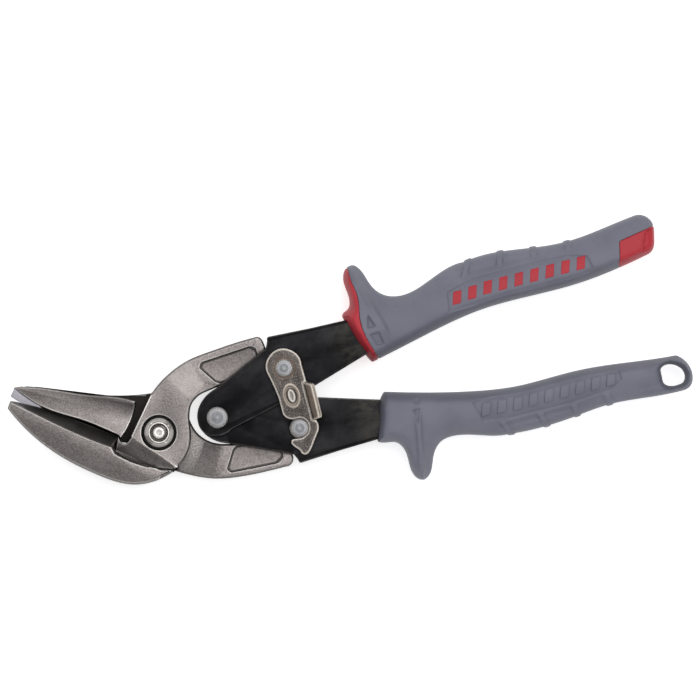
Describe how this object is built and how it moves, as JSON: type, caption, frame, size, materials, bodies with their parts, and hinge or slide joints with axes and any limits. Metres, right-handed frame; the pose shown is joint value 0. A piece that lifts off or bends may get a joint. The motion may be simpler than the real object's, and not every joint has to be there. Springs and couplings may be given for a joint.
{
  "type": "aviation snips",
  "caption": "Offset aviation snips: two forged jaws on a pivot bolt, compound toggle handles with moulded grips, a coil spring inside and a swinging latch.",
  "frame": {"origin": "centre of the tool's outline, on the plane it lies on: the backs of both grips and the pivot bolt's head", "axes": "+X from the blade tips to the grips' ends, +Y towards the upper handle, +Z out of the front face, where the latch is"},
  "size_m": [0.2352, 0.0792, 0.024],
  "materials": {
    "forged_steel": "bead-blasted satin",
    "bright_nickel": "nickel plated",
    "black_steel": "black oxide, semi-gloss",
    "zinc": "zinc plated, matte",
    "spring_steel": "oiled",
    "latch_plate": "plated, tumbled",
    "grey_grip": "matte moulded",
    "red_grip": "matte moulded"
  },
  "bodies": {
    "lower_handle": {"lower_handle_channel": "black_steel", "lower_grip": "grey_grip", "lower_arm_rivet": "zinc", "latch_keeper_collar": "spring_steel", "toggle_rivet": "zinc", "toggle_sleeve": "spring_steel", "handle_spring": "spring_steel"},
    "upper_handle": {"upper_handle_channel": "black_steel", "upper_grip": "grey_grip", "upper_grip_collar": "red_grip", "upper_grip_end_cap": "red_grip", "upper_grip_badge": "red_grip", "upper_arm_rivet": "zinc"},
    "upper_jaw": {"upper_blade": "forged_steel", "pivot_bolt": "bright_nickel", "pivot_nut": "bright_nickel", "pivot_thrust_washer": "spring_steel", "pivot_lock_washer": "spring_steel"},
    "lower_jaw": {"lower_blade": "forged_steel"},
    "latch_spring_washer": {"latch_wave_washer": "spring_steel"},
    "latch_hook": {"latch": "latch_plate"}
  },
  "joints": [
    {"name": "handle_opening", "type": "hinge", "parent": "lower_handle", "child": "upper_handle", "pos_m": [-0.04705, -0.00015, 0.0105], "axis": [0, 0, 1], "range_deg": [0, 27], "deforming": ["handle_spring"]},
    {"name": "lower_arm_turn", "type": "hinge", "parent": "lower_handle", "child": "upper_jaw", "pos_m": [-0.02015, -0.01095, 0.0105], "axis": [0, 0, 1], "range_deg": [0, 6.51]},
    {"name": "jaw_opening", "type": "hinge", "parent": "upper_jaw", "child": "lower_jaw", "pos_m": [-0.06815, -0.00015, 0.0105], "axis": [0, 0, 1], "range_deg": [0, 14.88]},
    {"name": "latch_release", "type": "hinge", "parent": "upper_handle", "child": "latch_spring_washer", "pos_m": [-0.02015, 0.01064, 0.0105], "axis": [0, 0, 1], "range_deg": [0, 59.9]},
    {"name": "latch_swing", "type": "hinge", "parent": "latch_spring_washer", "child": "latch_hook", "pos_m": [-0.02015, 0.01064, 0.0105], "axis": [0, 0, 1], "range_deg": [0, 15]}
  ],
  "couplings": [
    {"joint": "lower_arm_turn", "follows": "handle_opening", "ratio": 0.23},
    {"joint": "jaw_opening", "follows": "handle_opening", "ratio": 0.54},
    {"joint": "latch_release", "follows": "handle_opening", "ratio": 2.2}
  ]
}
